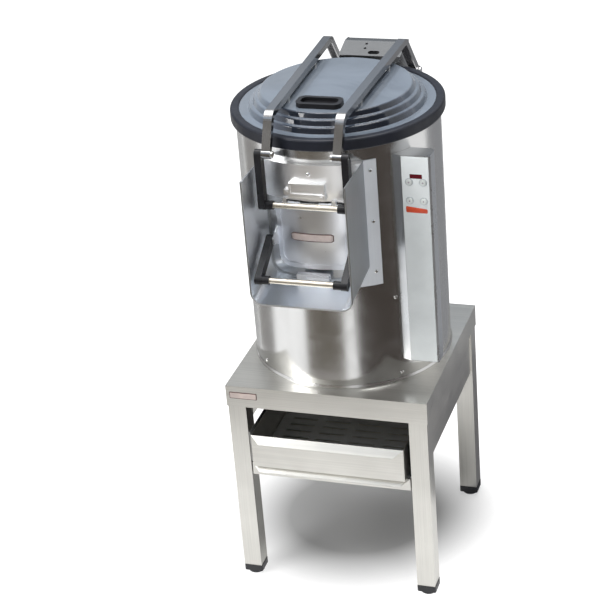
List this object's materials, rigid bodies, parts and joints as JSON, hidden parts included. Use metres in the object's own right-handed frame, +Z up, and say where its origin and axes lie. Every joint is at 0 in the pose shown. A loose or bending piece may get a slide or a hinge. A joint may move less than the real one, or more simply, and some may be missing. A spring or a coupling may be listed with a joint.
{
  "type": "electric potato peeler",
  "caption": "Commercial potato peeler: drum with hinged clear lid, discharge door and chute, driven abrasive plate, control column, on a table with a sliding filter drawer.",
  "frame": {"origin": "on the floor, under the middle of the bounding box", "axes": "+Z up, -Y towards the user at the chute, +X to the control column's side"},
  "size_m": [0.4599, 0.648, 1.118],
  "materials": {
    "table_steel": "satin brushed, warm grey",
    "inner_steel": "plain mill finish",
    "body_steel": "brushed round the drum",
    "bright_steel": "bright polished sheet",
    "screw_steel": "bright",
    "arm_steel": "satin",
    "bar_steel": "satin, warm",
    "black_plastic": "fine grain",
    "black_rubber": "smooth",
    "smoked_plastic": "clear, lightly smoked",
    "column_steel": "satin",
    "panel_foil": "satin film",
    "display_lens": "dark red lens",
    "button_plastic": "smooth",
    "board": "green circuit board",
    "abrasive": "coarse abrasive grit",
    "abrasive_plate": "coarse abrasive grit",
    "cast_housing": "rough cast, painted",
    "ground_steel": "ground",
    "motor_paint": "blue-grey enamel",
    "valve_metal": "plated brass"
  },
  "bodies": {
    "machine": {"table_top": "table_steel", "leg_front_left": "table_steel", "leg_front_right": "table_steel", "leg_back_left": "table_steel", "leg_back_right": "table_steel", "feet": "black_plastic", "side_panel_left": "table_steel", "side_panel_right": "table_steel", "back_panel": "table_steel", "drawer_runners": "inner_steel", "catch_tray": "table_steel", "base_ring": "body_steel", "body_shell": "body_steel", "bowl_floor": "inner_steel", "abrasive_liner": "abrasive", "waste_pipe": "inner_steel", "bearing_housing": "cast_housing", "bearings": "ground_steel", "shaft_seal": "black_rubber", "motor": "motor_paint", "motor_bracket": "inner_steel", "drive_belt": "black_rubber", "chute": "bright_steel", "guard_plate": "bright_steel", "lid_catch": "bright_steel", "door_catch": "bright_steel", "body_screws": "screw_steel", "control_column": "column_steel", "control_panel": "panel_foil", "display": "display_lens", "control_board": "board", "hinge_bracket": "arm_steel", "hinge_pin": "screw_steel", "water_inlet": "valve_metal", "cable_gland": "black_plastic", "door_hinge_pin": "screw_steel"},
    "drawer": {"filter_drawer": "table_steel", "filter_screen": "inner_steel"},
    "plate": {"peeling_plate": "abrasive_plate", "plate_shaft": "ground_steel", "plate_nut": "screw_steel", "driven_pulley": "cast_housing"},
    "rotor": {"motor_pulley": "cast_housing", "motor_shaft": "ground_steel"},
    "lid": {"lid": "smoked_plastic", "lid_gasket": "black_rubber", "lid_grip": "black_plastic", "lid_arm_left": "arm_steel", "lid_arm_right": "arm_steel", "lid_fixings": "screw_steel"},
    "lid_handle": {"lid_handle": "black_plastic", "lid_handle_bar": "bar_steel"},
    "door": {"door": "bright_steel", "door_seal": "black_rubber"},
    "door_handle": {"door_handle": "black_plastic", "door_handle_bar": "bar_steel"},
    "button_top_left": {"button_top_left": "button_plastic"},
    "button_top_right": {"button_top_right": "button_plastic"},
    "button_low_left": {"button_low_left": "button_plastic"},
    "button_low_right": {"button_low_right": "button_plastic"}
  },
  "joints": [
    {"name": "drawer_slide", "type": "slide", "parent": "machine", "child": "drawer", "axis": [0, -1, 0], "range_m": [0, 0.3]},
    {"name": "plate_spin", "type": "hinge", "parent": "machine", "child": "plate", "pos_m": [-0.005, 0, 0.69], "axis": [0, 0, 1], "continuous": true},
    {"name": "motor_spin", "type": "hinge", "parent": "machine", "child": "rotor", "pos_m": [-0.005, 0.122, 0.54], "axis": [0, 0, 1], "continuous": true},
    {"name": "lid_hinge", "type": "hinge", "parent": "machine", "child": "lid", "pos_m": [-0.005, 0.308, 1.012], "axis": [-1, 0, 0], "range_deg": [0, 78]},
    {"name": "lid_handle_pivot", "type": "hinge", "parent": "lid", "child": "lid_handle", "pos_m": [-0.005, -0.252, 1.04], "axis": [-1, 0, 0], "range_deg": [0, 80]},
    {"name": "door_hinge", "type": "hinge", "parent": "machine", "child": "door", "pos_m": [-0.005, -0.2255, 0.924], "axis": [-1, 0, 0], "range_deg": [0, 75]},
    {"name": "door_handle_pivot", "type": "hinge", "parent": "door", "child": "door_handle", "pos_m": [-0.005, -0.228, 0.84], "axis": [-1, 0, 0], "range_deg": [0, 45]},
    {"name": "press_top_left", "type": "slide", "parent": "machine", "child": "button_top_left", "axis": [0, 1, 0], "range_m": [0, 0.001], "stiffness_N_per_m": 400},
    {"name": "press_top_right", "type": "slide", "parent": "machine", "child": "button_top_right", "axis": [0, 1, 0], "range_m": [0, 0.001], "stiffness_N_per_m": 400},
    {"name": "press_low_left", "type": "slide", "parent": "machine", "child": "button_low_left", "axis": [0, 1, 0], "range_m": [0, 0.001], "stiffness_N_per_m": 400},
    {"name": "press_low_right", "type": "slide", "parent": "machine", "child": "button_low_right", "axis": [0, 1, 0], "range_m": [0, 0.001], "stiffness_N_per_m": 400}
  ],
  "couplings": [
    {"joint": "motor_spin", "follows": "plate_spin", "ratio": 3.0833}
  ]
}
